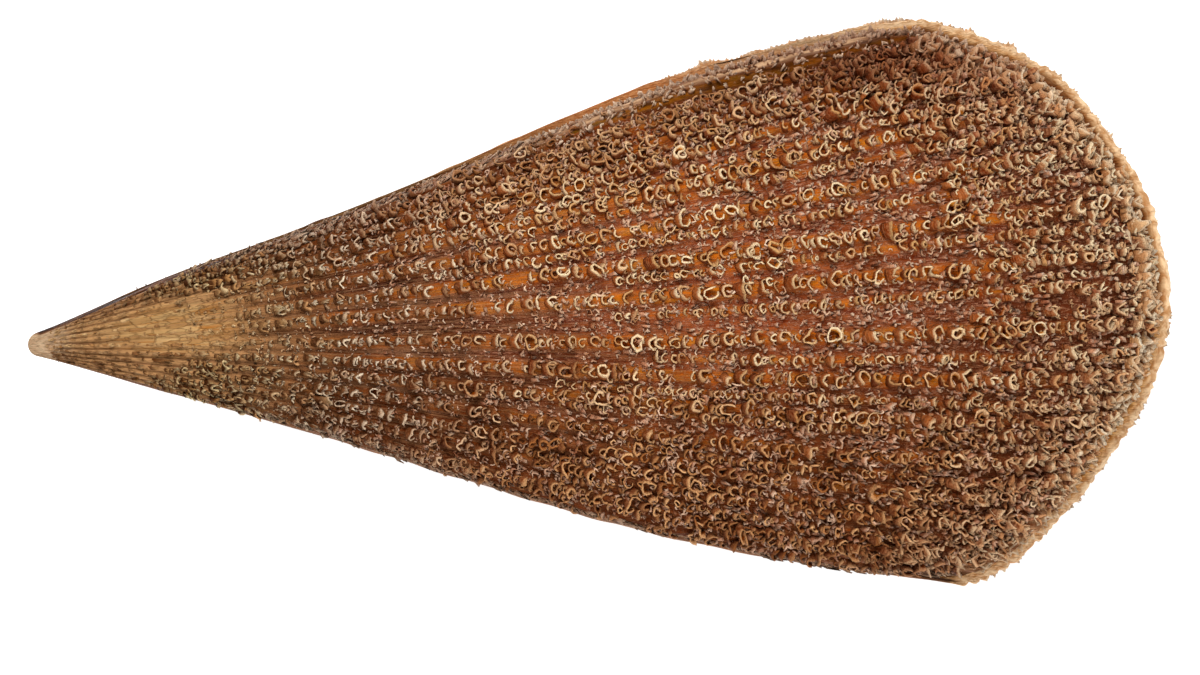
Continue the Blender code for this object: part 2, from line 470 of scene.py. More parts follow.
BELLY_END = 150                                    # mm round from the beak, where the margin begins
BAND_PLACES = (0, 15, 35, 60, 86, 100, 120, 131, 140, 150, 400)        # mm round from the beak
BAND_WIDTHS = (0.5, 0.9, 1.4, 2.1, 3.6, 4.5, 4.7, 4.0, 3.4, 3.2, 3.2)  # mm without scales there
HINGE_BAND = (0.4, 0.9, 1.6, 2.2, 2.5, 2.4, 1.4)      # mm without scales, beak to hinge corner


def edge_places(across, along, valve):
    """In mm: how far inside the belly and margin outline, how far round it from the beak, how
    far inside the hinge edge; then how many band widths lie between either edge and there."""
    inside, nearest = to_outline(fan_plan(across, along))
    walked = OUTLINE_WALKED[nearest]
    if valve.side > 0:
        inside = inside + drawn_in(inside, nearest)
    hinge = across * local_width(across, along)
    return (inside, walked, hinge, inside / np.interp(walked, BAND_PLACES, BAND_WIDTHS),
            hinge / spline(HINGE_BAND, along))


KNOB_PITCH = 1.8
knob_chance = np.random.default_rng(21)
KNOB_DRIFT = knob_chance.uniform(-1, 1, 60)
KNOB_SIZE = knob_chance.uniform(0.2, 1.0, 160)
LIP_BUMPS = knob_chance.uniform(-1, 1, 90)


def lip_knobs(walked):
    """The round knobs and longer bumps of the lower valve's lip, about -1 to 1.5."""
    share = walked / OUTLINE_WALKED[-1]
    run = np.pi * walked / KNOB_PITCH + 3.0 * spline(KNOB_DRIFT, share)
    knobs = (2 * np.abs(np.cos(run)) ** 0.8 - 1) * spline(KNOB_SIZE, share)
    return knobs * ease(115, 150, walked), 0.7 * spline(LIP_BUMPS, share) * ease(70, 110, walked)


def lip_waves(across, along, level):
    """How far the lower valve's edge swings out and up, as offsets in plan and height."""
    inside, nearest = to_outline(fan_plan(across, along))
    knobs, bumps = lip_knobs(OUTLINE_WALKED[nearest])
    near = 1 - ease(0.0, 2.8, inside)
    out = 0.34 * knobs * near ** 2 + 0.30 * bumps * near
    up = (0.16 * knobs + 0.14 * bumps) * near * np.where(level > 0, 1.0, 0.4)
    offsets = np.zeros((len(across), 3))
    offsets[:, :2] = -INWARDS[nearest] * out[:, None]
    offsets[:, 2] = up
    return MM * offsets


GOLD_ACROSS = 0.53                                      # the middle of the golden patch
# Where the painted shadow under the upper valve's edge begins on the lower valve's lip.
GAP_SHADOW_PLACES = (100, 128, 172, 195, 215)               # mm round from the beak
GAP_SHADOW_STARTS = (1.6, 0.95, 1.1, 1.45, 2.1)             # mm inside the lower valve's outline


def skin_relief(across, along, ribs, valve):
    """The skin's ribs, swells and edge ridges, and the masks that its material reads."""
    inside, walked, hinge, belly_share, hinge_share = edge_places(across, along, valve)
    belly_side = 1 - ease(138, 150, walked)
    depth = np.minimum(inside, hinge)
    fibrous = np.maximum((1 - ease(0.9, 1.1, np.maximum(belly_share, inside / 2.8))) * belly_side,
                         1 - ease(0.8, 1.1, hinge_share))
    ridge = (np.exp(-((inside - 2.1) / 0.42) ** 2) * ease(62, 92, walked)
             * (1 - ease(140, 150, walked)))
    olive = (ease(2.5, 3.0, inside) * (1 - ease(0.86, 1.04, belly_share)) * ease(66, 84, walked)
             * (1 - ease(138, 147, walked)))
    plain = np.maximum(olive, fibrous)
    lift = rib_lift(across, along, ribs) * (1 - plain)
    lift += 0.10 * MM * np.sin(75 * along + 3 * np.sin(6 * across)) * ease(0.15, 0.4, along)
    bend = 0.9 * np.sin(31 * along + 40 * across) + 0.7 * np.sin(83 * along - 23 * across)
    riblets = np.sin(2 * np.pi * across * 92 + bend) * np.sin(140 * along + 60 * across + bend)
    lift += 0.07 * MM * riblets * ease(0.2, 0.45, along) * (1 - plain)
    strands = np.sin(2 * np.pi * depth / 0.62 + 1.6 * np.sin(23 * along) + np.sin(61 * along))
    lift += 0.08 * MM * strands * fibrous * ease(0.03, 0.12, along)
    lumps = np.sin(5.1 * inside + 3 * np.sin(41 * along)) * np.sin(3.4 * walked + 2 * inside)
    lift += MM * (0.30 * ridge + olive * (0.25 + 0.10 * np.sin(97 * along) + 0.12 * lumps))
    masks = {
        "across": across,
        "along": along,
        "rib": ribs,
        "golden": np.exp(-((along - 0.135) / 0.065) ** 2 - ((across - GOLD_ACROSS) / 0.15) ** 2),
        "tip": 1 - ease(0.012, 0.05, along),
        "worn": 1 - ease(0.12, 0.33, along),
        "warm": np.exp(-((along - 0.62) / 0.36) ** 2 - ((across - 0.58) / 0.29) ** 2),
        "olive": olive,
        "fibrous": fibrous,
        "grey": ridge,
        "lip": (1 - ease(1.9, 2.3, inside)) * ease(4, 15, walked) * (valve.side < 0),
        "outer": 1 - ease(0.4, 1.7, inside),
        "gap_shadow": ease(0.0, 0.35, inside - np.interp(walked, GAP_SHADOW_PLACES, GAP_SHADOW_STARTS)),
        "knob": 0.5 + 0.5 * lip_knobs(walked)[0],
        "margin": ease(0.80, 0.93, along) * (valve.side > 0),
        "depth": depth,
    }
    return lift, masks


def hex_colour(text):
    """A colour from its usual six-figure name, as linear red, green, blue and 1."""
    parts = [int(text[i:i + 2], 16) / 255 for i in (0, 2, 4)]
    linear = [p / 12.92 if p <= 0.04045 else ((p + 0.055) / 1.055) ** 2.4 for p in parts]
    return (*linear, 1.0)


class Paint:
    """Adds nodes to one material or group.  Where a number is wanted, a mask of the mesh may be
    given by its name; a colour is given by its six figures."""

    def __init__(self, tree):
        self.tree = tree

    def put(self, kind, inputs, **settings):
        """Adds a shader node with those inputs and settings; gives its outputs."""
        made = self.tree.nodes.new("ShaderNode" + kind)
        for name, value in settings.items():
            setattr(made, name, value)
        set_inputs(made, inputs)
        return made.outputs

    def number(self, value):
        """A value or socket as it is, or the mask of that name."""
        if isinstance(value, str):
            return self.put("Attribute", {}, attribute_name=value)["Fac"]
        return value

    def blend(self, share, first, second, way="MIX"):
        """Mixes a share of the second colour into the first."""
        first, second = (hex_colour(colour) if isinstance(colour, str) else colour
                         for colour in (first, second))
        return self.put("Mix", {0: self.number(share), 6: first, 7: second},
                        data_type="RGBA", blend_type=way)[2]

    def tint(self, share, colour, by):
        """Darkens a colour through another one, so that it stays warm."""
        return self.blend(share, colour, by, "MULTIPLY")

    def maths(self, operation, first, second=0.0):
        numbers = {0: self.number(first), 1: self.number(second)}
        return self.put("Math", numbers, operation=operation)[0]

    def times(self, first, second):
        return self.maths("MULTIPLY", first, second)

    def plus(self, first, second):
        return self.maths("ADD", first, second)

    def minus(self, first, second):
        return self.maths("SUBTRACT", first, second)

    def most(self, first, second):
        return self.maths("MAXIMUM", first, second)

    def off(self, value, middle):
        """How far a value is from that middle."""
        return self.maths("ABSOLUTE", self.minus(value, middle))

    def ramp(self, value, low, high, to_low=0.0, to_high=1.0):
        """Maps a value between low and high to another range, and clamps it."""
        return self.put("MapRange", {"Value": self.number(value), "From Min": low,
                                     "From Max": high, "To Min": to_low,
                                     "To Max": to_high})["Result"]

    def at(self, u, s):
        """A place for a texture to be read at."""
        return self.put("CombineXYZ", {"X": u, "Y": s})["Vector"]

    def texture(self, place, fineness, detail, twist=0.0):
        """Even noise at that place."""
        return self.put("TexNoise", {"Vector": place, "Scale": fineness, "Detail": detail,
                                     "Distortion": twist})["Fac"]

    def grain(self, fineness, detail=3.0):
        """Even noise with about that many features in a metre."""
        return self.texture(self.put("TexCoord", {})["Object"], fineness, detail)

    def noise(self, across, along, detail=3.0, twist=0.0, output="Value", group=None):
        """A noise group set to that many features across and along the shell."""
        settings = {"Across": across, "Along": along, "Detail": detail, "Twist": twist}
        return self.put("Group", settings, node_tree=group or ROW_NOISE)[output]

    def relief(self, height, strength, distance):
        """Fine relief, as a normal."""
        return self.put("Bump", {"Strength": strength, "Distance": distance,
                                 "Height": height})["Normal"]


def new_group(name, inputs, outputs):
    """A shader group with those inputs, each with its value, and outputs: the group, its paint,
    what it is given and the node for its results."""
    group = bpy.data.node_groups.new(name, "ShaderNodeTree")
    for label, start in inputs.items():
        socket = group.interface.new_socket(label, in_out="INPUT", socket_type="NodeSocketFloat")
        socket.default_value = start
    for label in outputs:
        group.interface.new_socket(label, in_out="OUTPUT", socket_type="NodeSocketFloat")
    given = group.nodes.new("NodeGroupInput").outputs
    return group, Paint(group), given, group.nodes.new("NodeGroupOutput")


def row_noise_group(name, crossing):
    """Noise drawn out along the rows, or along the edges, with its own fineness crossing them
    and along them, and the thin crooked lines where that noise passes its middle."""
    group, paint, given, result = new_group(
        name, {"Across": 60.0, "Along": 20.0, "Detail": 3.0, "Twist": 0.0}, ("Value", "Lines"))
    place = paint.at(paint.times(crossing, given["Across"]), paint.times("along", given["Along"]))
    noise = paint.texture(place, 1.0, given["Detail"], given["Twist"])
    lines = paint.ramp(paint.off(noise, 0.5), 0.0, 0.07, 1.0, 0.0)
    set_inputs(result, {"Value": noise, "Lines": lines})
    return group


def tile_cracks_group():
    """Long flat tiles in rows: a tone for each tile, and the thin cracks between them."""
    group, paint, given, result = new_group("tile_cracks", {"Across": 44.0, "Along": 62.0},
                                            ("Tone", "Cracks"))
    u = paint.times("across", given["Across"])
    s = paint.times("along", given["Along"])
    bend = paint.texture(paint.at(u, s), 0.9, 3.0)
    place = {"Vector": paint.at(paint.plus(u, paint.times(bend, 3.2)), s), "Scale": 1.0}
    tiles = paint.put("TexVoronoi", place, voronoi_dimensions="2D")
    edges = paint.put("TexVoronoi", place, voronoi_dimensions="2D", feature="DISTANCE_TO_EDGE")
    cracks = paint.ramp(edges["Distance"], 0.01, 0.09, 1.0, 0.0)
    set_inputs(result, {"Tone": tiles["Color"], "Cracks": cracks})
    return group


def side_shade_group():
    """Painted shade: the shell is drawn a little darker along both sides; the share of dark brown
    there.
    """
    group, paint, _, result = new_group("side_shade", {}, ("Share",))
    ramp, times = paint.ramp, paint.times
    # Painted shade on the belly side, strongest towards the margin; along the hinge edge; and over
    # the hinge half near the beak.
    belly = times(ramp("across", 0.70, 0.92, 0.0, 0.28), ramp("along", 0.70, 0.86, 1.1, 2.8))
    belly = times(belly, ramp("along", 0.5, 0.26, 1.0, 1.7))
    hinge = ramp("across", 0.13, 0.04, 0.0, 0.30)
    young = times(ramp("across", 0.42, 0.15, 0.0, 0.20), ramp("along", 0.6, 0.3))
    set_inputs(result, {"Share": paint.most(belly, paint.most(hinge, young))})
    return group


ROW_NOISE = row_noise_group("row_noise", "across")
EDGE_NOISE = row_noise_group("edge_noise", "depth")
TILE_CRACKS = tile_cracks_group()
SIDE_SHADE = side_shade_group()


def new_material(name, roughness):
    """A material of slightly shiny horn: itself, its paint and its surface."""
    material = bpy.data.materials.new(name)
    material.use_nodes = True
    surface = material.node_tree.nodes["Principled BSDF"]
    set_inputs(surface, {"Roughness": roughness, "Specular IOR Level": 0.12,
                         "Specular Tint": hex_colour("ffb27a")})
    return material, Paint(material.node_tree), surface


def skin_material(name):
    material, paint, surface = new_material(name, 0.45)
    blend, ramp, times, noise = paint.blend, paint.ramp, paint.times, paint.noise
    streak = noise(130.0, 22.0, 4.0)
    streaks = ramp(streak, 0.35, 0.65)
    blotch = noise(14.0, 16.0)
    wrinkles = noise(150.0, 95.0, 2.0, 1.6, "Lines")
    creases = noise(95.0, 190.0, 2.0, 2.2, "Lines")
    fine = noise(420.0, 120.0, 2.0)
    strands = noise(3.4, 15.0, 3.0, 0.3, group=EDGE_NOISE)
    tiles = paint.put("Group", {}, node_tree=TILE_CRACKS)
    rib = ramp("rib", 0.1, 0.65)
    orange = blend(streaks, "963c04", "cc6a0e")
    orange = blend(ramp(noise(46.0, 34.0, 2.0), 0.52, 0.64), orange, "c26d0c")
    centre = blend(rib, blend(streaks, "702206", "b05a2a"), orange)
    sides = blend(streaks, "4b1703", "7d3a13")
    warm = ramp(paint.plus("warm", ramp(blotch, 0.3, 0.7, -0.3, 0.3)), 0.1, 0.8)
    colour = blend(warm, sides, centre)
    colour = blend(times("margin", 0.7), colour, "602612")
    strip = times("margin", ramp("depth", 4.6, 3.2, 0.0, 0.8))
    colour = blend(strip, colour, blend(streaks, "8a4c28", "e0ae80"))
    early = ramp("along", 0.62, 0.34)
    either_end = paint.most(early, ramp("along", 0.6, 0.8, 0.0, 0.5))
    colour = blend(times(ramp("rib", 0.5, 0.1, 0.0, 0.9), either_end), colour, "2e0d04")

    worn = blend(rib, "4c260c", "d29e68")
    gold = blend(tiles["Tone"], "b07c42", "deb87e")
    gold = blend(ramp(streak, 0.55, 0.68), gold, "b8701e")
    worn = blend(ramp("golden", 0.15, 0.6), worn, gold)
    worn = blend(times(tiles["Cracks"], ramp(fine, 0.42, 0.6, 0.05, 0.7)), worn, "6b3f18")
    colour = blend("worn", colour, worn)
    threads = times(noise(92.0, 5.0, 2.0, 0.35, "Lines"), early)
    colour = blend(times(threads, 0.6), colour, "b5835a")
    tip = blend(ramp(noise(26.0, 130.0), 0.35, 0.65), "deb086", "fbd8ae")
    tip = blend(times(noise(22.0, 90.0, 3.0, 1.0, "Lines"), 0.45), tip, "7c5330")
    colour = blend("tip", colour, tip)

    olive = ramp(noise(1.2, 40.0, 3.0, 0.4, group=EDGE_NOISE), 0.38, 0.62)
    olive = blend(olive, "4c2602", "9a5a08")
    olive = blend(ramp(blotch, 0.5, 0.62, 0.0, 0.6), olive, "66500e")
    colour = blend("olive", colour, olive)
    strand = blend(ramp(strands, 0.36, 0.60), "3a1a0a", "96603a")
    dull = blend(ramp(strands, 0.4, 0.6), "3a2018", "7c5640")
    colour = blend("fibrous", colour, blend(ramp(blotch, 0.5, 0.62), strand, dull))
    colour = blend("grey", colour, blend(ramp(strands, 0.35, 0.62), "7c4e32", "d8b088"))
    hinge_edge = times(ramp("depth", 0.9, 0.1), ramp("across", 0.2, 0.1, 0.0, 0.6))
    colour = blend(hinge_edge, colour, blend(streaks, "9c6038", "d2a276"))

    wrinkled = blend(warm, "a87048", blend(rib, "dc9674", "e0965a"))
    share = paint.most(wrinkles, times(creases, 0.8))
    share = times(share, ramp(fine, 0.42, 0.58, 0.05, 0.85))
    for mask in ("lip", "olive", "fibrous", "worn"):
        share = times(share, paint.minus(1.0, mask))
    colour = blend(share, colour, wrinkled)

    scallops = ramp(noise(110.0, 190.0, 3.0, 0.8), 0.36, 0.62)
    brown_lip = blend(ramp(strands, 0.38, 0.6), "5e3418", "b08254")
    amber_lip = blend(ramp("along", 0.5, 0.72), brown_lip, blend(scallops, "b0602a", "dc9a64"))
    gold_lip = blend("outer", blend(scallops, "c27c38", "f0b670"),
                     blend(scallops, "bf8e60", "f4d2a8"))
    # Painted shade: the lip is darker in the dips between its knobs.
    gold_lip = blend(ramp("knob", 0.45, 0.0, 0.0, 0.75), gold_lip, "a8622a")
    gold_lip = blend(ramp("across", 0.5, 0.95, 0.0, 0.14), gold_lip, "a8743e")
    # Partly the lip's own paler, more orange colour near the hinge corner, partly painted light
    # where the lip faces away from the lamps.
    gold_lip = blend(ramp("across", 0.2, 0.04, 0.0, 0.5), gold_lip,
                     blend(scallops, "d08c54", "ffdaac"))
    lip = blend(ramp("along", 0.78, 0.96), amber_lip, gold_lip)
    # Painted shadow: the lip darkens to deep brown inwards, where it runs in under the upper valve's
    # edge.
    lip = blend(times("gap_shadow", 0.85), lip, "521f0c")
    colour = blend("lip", colour, lip)
    # Painted shade along both sides, kept off the lip and the grey ridge, darkening through warm
    # brown.
    shade = paint.put("Group", {}, node_tree=SIDE_SHADE)["Share"]
    shaded = times(shade, paint.minus(1.0, paint.most("lip", "grey")))
    colour = paint.tint(shaded, colour, "80422a")

    height = paint.plus(paint.plus(times(share, 0.8), fine), times(threads, 0.8))
    worn_height = paint.minus(fine, times(tiles["Cracks"], 1.2))
    height = paint.put("Mix", {0: paint.number("worn"), 2: height, 3: worn_height})[0]
    set_inputs(surface, {"Base Color": colour, "Roughness": ramp(streak, 0.3, 0.7, 0.25, 0.5),
                         "Normal": paint.relief(height, 0.8, 0.0004)})
    return material


skin_finish = skin_material("shell_skin")
valve_skin("upper_skin", UPPER, 0.004, (300, 290), skin_finish)


# ------------------------------------------------------------------------------ upper valve scales
# Thousands of hollow scales, each a fold of the mantle's edge that was left standing: a little
# gutter or tube of the same brittle stuff, open towards the margin, with a pale rim.  They are
# worn to low tiles by the beak, broken to rings and hooks over the middle, and long by the margin.

def scale_template(around, up):
    """One scale's closed wall, unrolled flat: x from -1 to 1 around it, y from 0 at the root
    to 1 at the rim, z 0 for its inner face and 1 for its outer one."""
    bm = bmesh.new()
    bmesh.ops.create_grid(bm, x_segments=around, y_segments=up, size=1.0)
    bmesh.ops.scale(bm, verts=bm.verts, vec=(1.0, 0.5, 1.0))
    bmesh.ops.translate(bm, verts=bm.verts, vec=(0.0, 0.5, 0.0))
    top = bmesh.ops.extrude_face_region(bm, geom=bm.faces[:], use_keep_orig=True)
    raised = [item for item in top["geom"] if isinstance(item, bmesh.types.BMVert)]
    bmesh.ops.translate(bm, verts=raised, vec=(0.0, 0.0, 1.0))
    bmesh.ops.recalc_face_normals(bm, faces=bm.faces)
    bm.verts.index_update()
    corners = np.array([vertex.co[:] for vertex in bm.verts])
    faces = np.array([[vertex.index for vertex in face.verts] for face in bm.faces])
    bm.free()
    return corners, faces


def joined_mesh(name, faces, points):
    """One mesh of many copies of the same four-sided faces, each with its own points."""
    count, each = points.shape[:2]
    corners = (faces[None] + (np.arange(count) * each)[:, None, None]).ravel()
    mesh = bpy.data.meshes.new(name)
    mesh.vertices.add(count * each)
    mesh.loops.add(len(corners))
    mesh.polygons.add(count * len(faces))
    mesh.loops.foreach_set("vertex_index", corners.astype(np.int32))
    mesh.polygons.foreach_set("loop_start", np.arange(0, len(corners), 4, dtype=np.int32))
    mesh.vertices.foreach_set("co", points.astype(np.float32).ravel())
    mesh.update(calc_edges=True)
    mesh.validate()
    return mesh


def scatter(valve, ranks, chance, size, span, pitch, keep):
    """Where each scale of those rows stands: its across, its along and its radius in mm."""
    rows = valve.rows
    one_mm = MM / SHELL_LENGTH
    spots = []
    for number in np.flatnonzero(np.isin(rows.rank, ranks)):
        smaller = (1.0, 0.78, 0.58)[rows.rank[number]]
        early = 0.07 * float(ease(0.10, 0.28, abs(rows.place[number] - GOLD_ACROSS)))
        along = max(rows.start[number], span[0] - early) + 0.012 * chance.random()
        while along < span[1]:
            here = np.array(along)
            wide = float(spline(size, here)) * smaller * chance.uniform(0.65, 1.25)
            across = float(rows.line(number, here))
            stray = 0.36 - 0.22 * float(ease(0.25, 0.5, here)) + 0.16 * float(ease(0.82, 0.96, here))
            across += chance.normal(0, stray) * wide / float(local_width(np.array(across), here))
            if chance.random() < keep:
                spots.append((across, along, wide))
            if chance.random() < 0.16:
                spots.append((across + chance.uniform(-1.0, 1.0) * wide * one_mm * 2,
                              along + 0.8 * wide * one_mm, 0.6 * wide))
            step = float(spline(pitch[0], here)), float(spline(pitch[1], here))
            along += wide * chance.uniform(*step) * one_mm
    return clear_of_bands(np.array(spots), chance, valve)


def clear_of_bands(spots, chance, valve=UPPER):
    """Leaves out the scales of the bare bands along the edges; the upper valve's belly band
    keeps a few small strays."""
    upper = valve.side > 0
    _, _, hinge, belly_share, hinge_share = edge_places(spots[:, 0], spots[:, 1], valve)
    share = np.minimum(belly_share, hinge_share)
    clear = share > chance.uniform(0.94, 1.15, len(spots)) * (1.0 if upper else 1.3)
    clear = clear & (hinge > (1.8 if upper else 3.0) * spots[:, 2] + 0.9 * spots[:, 1] ** 4)
    stray = chance.random(len(spots)) < 0.10
    stray = stray & (share > 0.35) & (hinge_share > 0.9) & ~clear & upper
    spots[stray, 2] *= 0.5
    return spots[clear | stray]


# How one kind of scale grows.  The first four are each the least and the most, and either may
# be given at even steps from beak to margin: the height in radii, the lean in degrees, how far
# the lip wraps round in half turns, and how far it faces aside.  The last three tell its colour.
Habit = namedtuple("Habit", "height lean lip_turn facing crumple closed broken sunk wear flare "
                            "lowest fresh splinter lavender",
                   defaults=(0.0, 0.2, 0.0, 1.0, (-0.25, 0.35), 0.0, 0.0, 0.0, 0.0))


def grow_scales(name, template, spots, chance, habit, highest, valve=UPPER):
    """Grows a scale of its own shape at each spot, none taller than the highest, in mm, and
    joins them in one piece."""
    corners, faces = template
    count = len(spots)
    around, up, layer = (corners[None, :, axis] for axis in range(3))
    across, along = spots[:, 0], spots[:, 1]
    radius = spots[:, 2:3]
    base, normal, margin_way, sideways = valve_frame(across, along, valve)
    base = base + normal * rib_lift(across, along, ribbing(valve.rows, across, along))[:, None]

    def draw(least, most):
        return chance.uniform(least, most, count)[:, None]

    def grown(measure):
        least, most = (spline(values, along) if np.ndim(values) else values for values in measure)
        return (least + (most - least) * chance.random(count))[:, None]

    _, walked, hinge, belly_share, hinge_share = edge_places(across, along, valve)
    at_belly = (walked < BELLY_END) | (valve.side < 0)
    near_edge = np.minimum(np.where(at_belly, belly_share, 9.0), hinge_share)
    least = 0.35 if valve.side > 0 else 0.12
    low = np.maximum(least + (1 - least) * ease(1.0, 2.3, near_edge), habit.lowest)
    height = radius * grown(habit.height) * low[:, None]
    lean = np.radians(grown(habit.lean))
    lip_turn = np.pi * grown(habit.lip_turn)
    whole_rings = habit.closed * ease(0.0, 0.5, across) * ease(0.28, 0.5, along)
    closed = chance.random(count)[:, None] < whole_rings[:, None]
    lip_turn = np.where(closed, np.pi * draw(0.92, 1.12), lip_turn)
    root_turn = np.minimum(np.pi * draw(0.42, 0.62), lip_turn + 0.3)
    broken = chance.random(count)[:, None] < habit.broken
    height = np.minimum(np.where(broken, height * draw(0.25, 0.7), height), highest)
    facing = grown(habit.facing) * chance.choice((-1, 1), count)[:, None]
    pinch, pinch_way = draw(0.0, 0.42), draw(0, np.pi)
    lobe, lobe_way = draw(0.0, 0.20), draw(0, np.pi)
    crumple, crumple_way = habit.crumple * draw(0.2, 1.0), draw(0, 2 * np.pi)
    crumple = crumple * (1 + 0.9 * (1 - ease(0.15, 0.45, across)))[:, None]
    crumple = crumple * (1 + 0.8 * (1 - ease(0.25, 0.5, along)))[:, None]
    coil = draw(-0.12, 0.34) * (lip_turn > 0.85 * np.pi)
    flare, curl = draw(*habit.flare), np.radians(draw(-20, 36))
    sway = draw(-0.5, 0.5)
    flare = flare + 0.15 * ease(0.7, 0.95, along)[:, None]
    wear = (draw(0.05, 0.40) + 0.25 * broken) * habit.wear
    phase, thickness = draw(0, 2 * np.pi), draw(0.75, 1.35)

    ragged = 0.5 + 0.5 * np.sin(2.6 * around + phase) * np.cos(6.3 * around + 2 * phase)
    t = up * np.maximum(1 - wear * ragged, 0.0)
    turn = root_turn + (lip_turn - root_turn) * t ** 0.7
    angle = around * turn + facing
    thick = thickness * (0.09 + 0.23 * t ** 2) * (0.55 + 0.45 * radius)
    reach = radius * (0.92 + 0.3 * (1 - t) ** 3 + flare * t ** 2)
    folds = (np.sin(3.9 * around + crumple_way + 2.0 * t)
             + 0.45 * np.sin(6.8 * around + 2 * crumple_way - 3.0 * t))
    reach = reach * (1 + pinch * t * np.cos(2 * (angle - pinch_way)) + crumple * t * folds
                     + lobe * np.cos(3 * (angle - lobe_way)) + coil * around * t)
    reach = reach + (layer - 0.5) * thick
    tilt = lean + curl * t
    rising = height * t * (1 + crumple * np.sin(4.0 * around + phase))
    out = rising * np.sin(lean + 0.5 * curl * t) - reach * np.cos(angle) * np.cos(tilt)
    rise = (rising * np.cos(lean + 0.5 * curl * t) + reach * np.cos(angle) * np.sin(tilt)
            - 0.30 * (1 - t) ** 4 - habit.sunk * radius)
    over = reach * np.sin(angle) + sway * radius * t ** 2
    points = (base[:, None] + MM * (out[..., None] * margin_way[:, None]
                                    + over[..., None] * sideways[:, None]
                                    + rise[..., None] * normal[:, None]))
    # No scale reaches over the hinge edge: the nearer it comes, the less further it goes.
    to_hinge = unit(-valve.side * sideways * (1, 1, 0))[:, None]
    room = np.maximum(hinge - 0.1, 0.1)[:, None] * MM
    beside = np.maximum(((points - base[:, None]) * to_hinge).sum(-1), 0.0)
    points -= (beside - room * np.tanh(beside / room))[..., None] * to_hinge
    points[..., 2] = np.maximum(points[..., 2], 0.0)
    masks = {
        "across": across[:, None],
        "along": along[:, None],
        "rise": t,
        "rim": (1 - up) * height,
        "hollow": 1 - layer,
        "luck": draw(0, 1),
        "pale": draw(0, 1),
        "fresh": habit.fresh,
        "splinter": habit.splinter,
        "lavender": habit.lavender,
    }
    masks = {name: np.broadcast_to(values, points.shape[:2]) for name, values in masks.items()}
    close_piece(joined_mesh(name, faces, points), masks, scale_finish, valve)


def scale_material(name):
    material, paint, surface = new_material(name, 0.38)
    blend, ramp, times, most, off = paint.blend, paint.ramp, paint.times, paint.most, paint.off

    def dealt(first, second):
        """Each scale's own shade between two colours."""
        return blend("luck", first, second)

    mottle = ramp(paint.grain(2300.0), 0.38, 0.62)
    fine = paint.grain(5200.0, 2.0)
    blotch = paint.noise(14.0, 16.0)
    aside = ramp(paint.plus(off("across", 0.58), ramp(blotch, 0.3, 0.7, -0.1, 0.1)), 0.14, 0.36)
    edge = ramp("along", 0.84, 0.98)

    wall = blend(aside, dealt("86360c", "bc682e"), dealt("561e04", "8c4c24"))
    wall = blend(ramp("along", 0.44, 0.30), wall, dealt("42210c", "764a26"))
    high = blend(ramp("pale", 0.6, 1.0, 0.0, 0.8), dealt("bc6c34", "ffd6a0"), "cc7c3a")
    # Near the margin each wall runs from dark brown at its root to pale at the top: partly the
    # horn's own darker root, partly painted shade in the gaps between the crowded scales.
    wall = blend(edge, wall, blend(ramp("rise", 0.35, 0.95), "501c08", high))
    speckle = times(mottle, ramp(edge, 0.0, 1.0, 0.35, 0.5))
    wall = blend(speckle, wall, blend(edge, "c2875c", "dca478"))
    growth = paint.texture(paint.at(times("rise", 11.0), times("luck", 60.0)), 1.0, 2.0)
    growth = ramp(growth, 0.44, 0.60)
    wall = paint.tint(times(growth, 0.45), wall, "b87c50")
    wall = blend("splinter", wall, dealt("a05432", "e2a078"))
    wall = blend("fresh", wall, blend("rise", dealt("a05c2c", "c8864c"),
                                      dealt("e8a468", "ffd6a0")))
    # The inside of each scale: amber horn drawn brighter than its outside, partly its own colour and
    # partly painted light that stands for the glow through the thin wall.
    inner = blend(aside, dealt("a84a08", "ee9830"), dealt("662206", "9c5014"))
    inner = blend(edge, inner, dealt("70280a", "b8661c"))
    inner = blend("fresh", inner, dealt("b06c2c", "dca062"))
    lip = blend(aside, dealt("d49e62", "ffe4b8"), dealt("a06030", "ecb47c"))
    lip = blend(ramp("along", 0.48, 0.32), lip, dealt("c4946a", "ffeacc"))
    lip = blend(edge, lip, dealt("e0a26c", "ffe9c0"))
    lip = blend("splinter", lip, dealt("b87a58", "ffdcc0"))
    lip = blend("fresh", lip, dealt("ecc698", "fdecd2"))
    ragged_rim = paint.plus("rim", ramp(fine, 0.3, 0.7, -0.14, 0.14))
    ragged_rim = ramp(paint.minus(ragged_rim, times(edge, 0.14)), 0.46, 0.08)
    rim_share = times(ragged_rim, ramp("pale", 0.0, 0.5, 0.45, 1.0))
    colour = blend(rim_share, blend("hollow", wall, inner), lip)

    worn = blend(aside, dealt("b07c4a", "eac088"), dealt("7e4c2a", "cc9c70"))
    off_gold = ramp(off("across", GOLD_ACROSS), 0.10, 0.26)
    worn = blend(off_gold, worn, dealt("6c4022", "b4875c"))
    worn = blend(times(mottle, 0.35), worn, "8a5d34")
    foot = blend(ramp("rise", 0.0, 0.3), "683812", worn)
    stroke = blend(ramp("rise", 0.4, 0.95), "4c270e", dealt("e0a05a", "ffe8b0"))
    sooner = paint.plus("along", times(off_gold, 0.09))
    worn = blend(ramp(sooner, 0.16, 0.25), foot, stroke)
    colour = blend(ramp("along", 0.30, 0.17), colour, worn)

    colour = blend("lavender", colour, blend("rise", "c08050", "ffe8cc"))
    # Painted shade along both sides, kept mostly off the fresh frills and the grey teeth.
    shaded = paint.minus(1.0, times(most("lavender", "fresh"), 0.8))
    shade = paint.put("Group", {}, node_tree=SIDE_SHADE)["Share"]
    colour = paint.tint(times(shade, shaded), colour, "8a4a2c")
    # More painted shade on both sides over the last part towards the margin, warm brown and
    # strongest on the belly side.
    late_aside = most(ramp("across", 0.62, 0.80, 0.0, 0.55), ramp("across", 0.40, 0.20, 0.0, 0.18))
    late_aside = times(late_aside, ramp("along", 0.80, 0.90))
    colour = paint.tint(times(late_aside, shaded), colour, "c07850")
    height = paint.minus(paint.plus(fine, times(mottle, 0.8)), growth)
    set_inputs(surface, {"Base Color": colour, "Normal": paint.relief(height, 0.7, 0.0003)})
    return material


